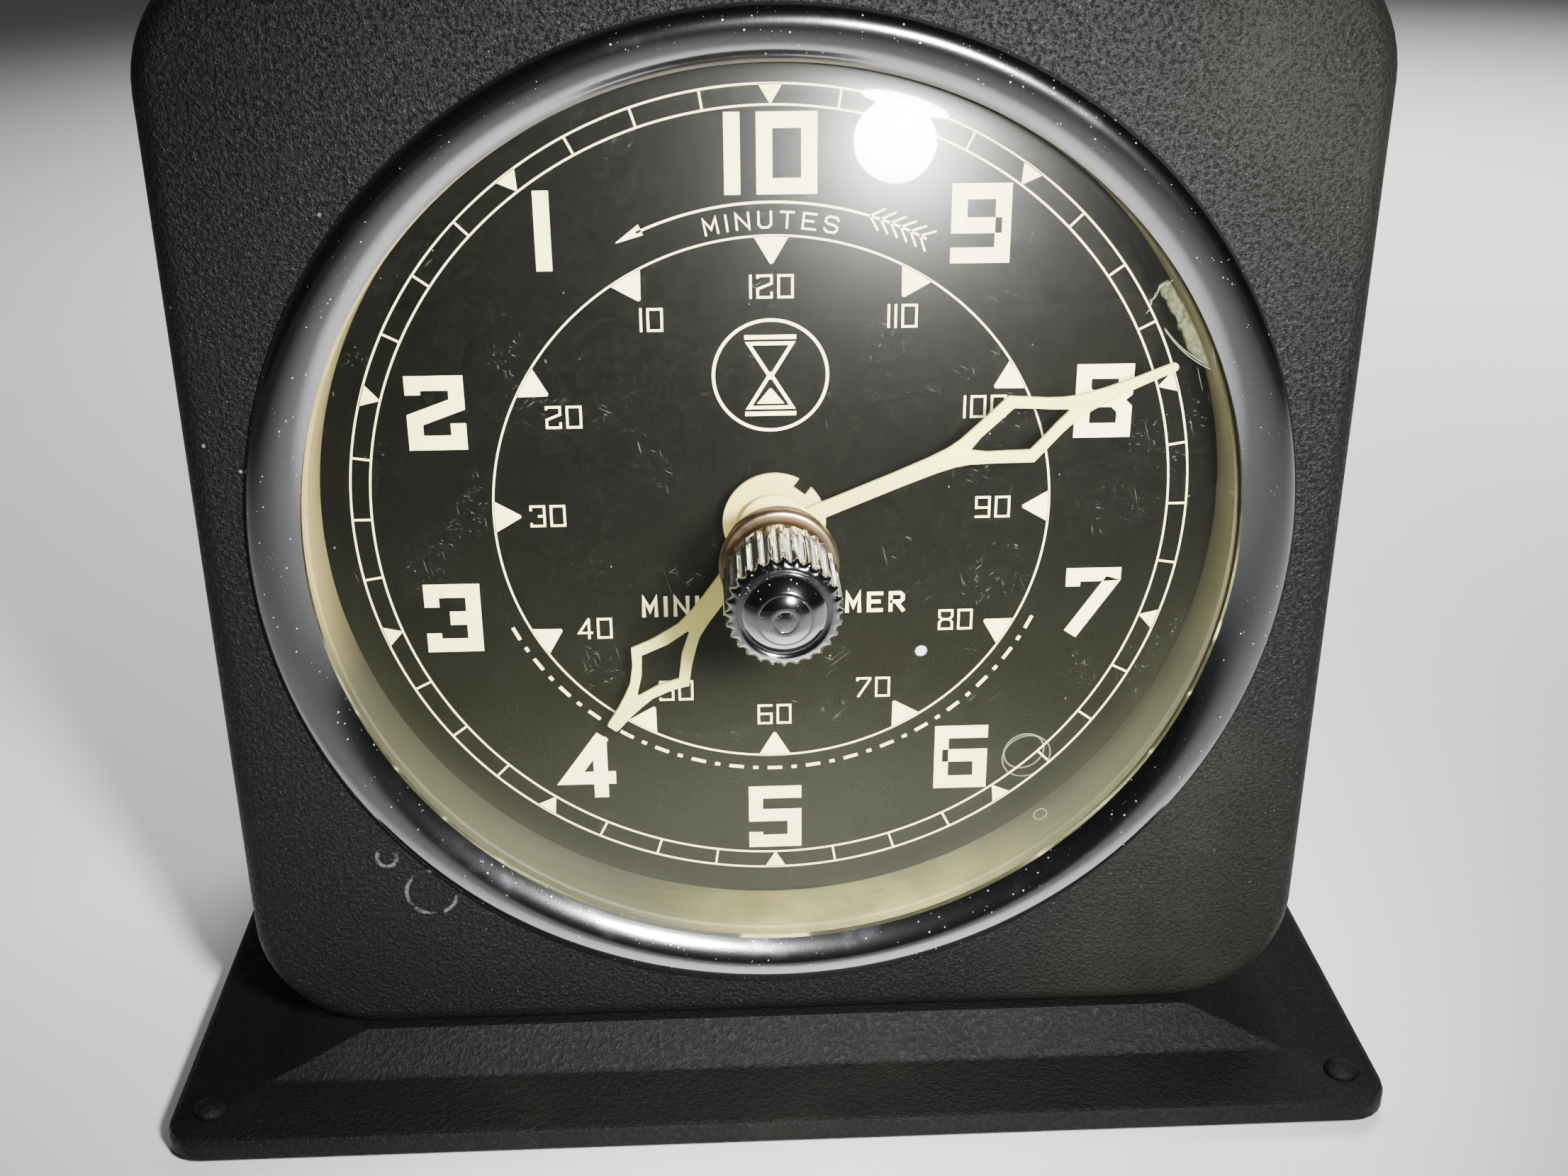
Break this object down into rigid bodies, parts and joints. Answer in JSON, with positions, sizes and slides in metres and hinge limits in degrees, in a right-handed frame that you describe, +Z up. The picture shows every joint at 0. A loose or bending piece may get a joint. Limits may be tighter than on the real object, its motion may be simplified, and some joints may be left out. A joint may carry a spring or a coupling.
{
  "type": "interval timer",
  "caption": "Bench-top mains interval timer: square steel case on a plinth, domed round dial with two skeleton hands and a centre setting knob, geared movement and buzzer lever inside",
  "frame": {"origin": "centre of the bounding box's bottom face, on the surface that the feet stand on", "axes": "+Z up; the dial faces -Y; +X is to the right as the dial is read"},
  "size_m": [0.162, 0.1064, 0.1495],
  "materials": {
    "wrinkle_paint": "charcoal wrinkle enamel, matt with a fine broken sheen",
    "base_paint": "brownish black enamel, dull satin, worn at the edges",
    "chrome": "bright chrome plate, pitted",
    "steel": "plain bright steel",
    "brass": "plain brass, lightly tarnished",
    "bronze": "copper-coloured bronze, tarnished",
    "dial_black": "satin black enamel",
    "cream_paint": "cream enamel, slightly yellowed",
    "cream_ring": "dirty cream paint on fibre",
    "clear_plastic": "clear moulded plastic, scratched and yellowed",
    "rubber": "matt black rubber",
    "coil_tape": "varnished tape",
    "phenolic": "brown moulded phenolic",
    "laminations": "blued laminated steel"
  },
  "bodies": {
    "housing": {"case_shell": "wrinkle_paint", "rear_cover": "wrinkle_paint", "base_plinth": "base_paint", "foot_rivet_1": "base_paint", "foot_rivet_2": "base_paint", "foot_rivet_3": "base_paint", "foot_rivet_4": "base_paint", "bezel_ring": "chrome", "rear_cover_screw_1": "steel", "rear_cover_screw_2": "steel", "rear_cover_screw_3": "steel", "rear_cover_screw_4": "steel", "base_screw_1": "steel", "base_screw_2": "steel", "mount_post_1": "steel", "mount_post_2": "steel", "mount_post_3": "steel", "mount_post_4": "steel", "chassis_screw_1": "steel", "chassis_screw_2": "steel", "chassis_screw_3": "steel", "chassis_screw_4": "steel", "core_screw_1": "steel", "core_screw_2": "steel", "minute_stud": "steel", "alarm_stud": "steel", "buzzer_reed": "steel", "movement_front_plate": "brass", "movement_back_plate": "brass", "pillar_1": "brass", "pillar_2": "brass", "pillar_3": "brass", "crystal_eyelet": "bronze", "rotor_can": "bronze", "dial_plate": "dial_black", "dial_spacer": "cream_ring", "crystal": "clear_plastic", "base_foot_1": "rubber", "base_foot_2": "rubber", "base_foot_3": "rubber", "base_foot_4": "rubber", "cord_bushing": "rubber", "motor_coil": "coil_tape", "terminal_strip": "phenolic", "motor_core": "laminations"},
    "setting_spindle": {"set_knob": "chrome", "centre_arbor": "steel", "long_hand": "cream_paint", "cannon_pinion": "brass", "friction_spring": "bronze"},
    "minute_gear": {"minute_wheel": "brass", "minute_pinion": "steel"},
    "hour_gear": {"hour_wheel": "brass", "short_hand": "cream_paint", "alarm_cam": "steel"},
    "clutch": {"clutch_wheel": "brass"},
    "intermediate": {"intermediate_arbor": "steel", "intermediate_wheel": "brass"},
    "rotor_output": {"rotor_pinion": "steel"},
    "alarm_arm": {"alarm_lever": "steel"}
  },
  "joints": [
    {"name": "set_knob_turn", "type": "hinge", "parent": "housing", "child": "setting_spindle", "pos_m": [0, -0.0192, 0.0795], "axis": [0, -1, 0], "continuous": true},
    {"name": "minute_wheel_turn", "type": "hinge", "parent": "housing", "child": "minute_gear", "pos_m": [0.01414, -0.0192, 0.09364], "axis": [0, -1, 0], "continuous": true},
    {"name": "hour_hand_turn", "type": "hinge", "parent": "housing", "child": "hour_gear", "pos_m": [0, -0.0192, 0.0795], "axis": [0, -1, 0], "continuous": true},
    {"name": "clutch_wheel_turn", "type": "hinge", "parent": "housing", "child": "clutch", "pos_m": [0, -0.0192, 0.0795], "axis": [0, -1, 0], "continuous": true},
    {"name": "intermediate_turn", "type": "hinge", "parent": "housing", "child": "intermediate", "pos_m": [-0.01455, -0.0192, 0.0711], "axis": [0, -1, 0], "continuous": true},
    {"name": "rotor_pinion_turn", "type": "hinge", "parent": "housing", "child": "rotor_output", "pos_m": [-0.00615, -0.0192, 0.05655], "axis": [0, -1, 0], "continuous": true},
    {"name": "alarm_lever_lift", "type": "hinge", "parent": "housing", "child": "alarm_arm", "pos_m": [-0.016, -0.0192, 0.0555], "axis": [0, -1, 0], "range_deg": [0, 5], "stiffness_Nm_per_rad": 0.004, "springref_deg": -20.05}
  ],
  "couplings": [
    {"joint": "minute_wheel_turn", "follows": "set_knob_turn", "ratio": -0.33333},
    {"joint": "hour_hand_turn", "follows": "set_knob_turn", "ratio": 0.083333},
    {"joint": "intermediate_turn", "follows": "clutch_wheel_turn", "ratio": -6},
    {"joint": "rotor_pinion_turn", "follows": "clutch_wheel_turn", "ratio": 36}
  ]
}
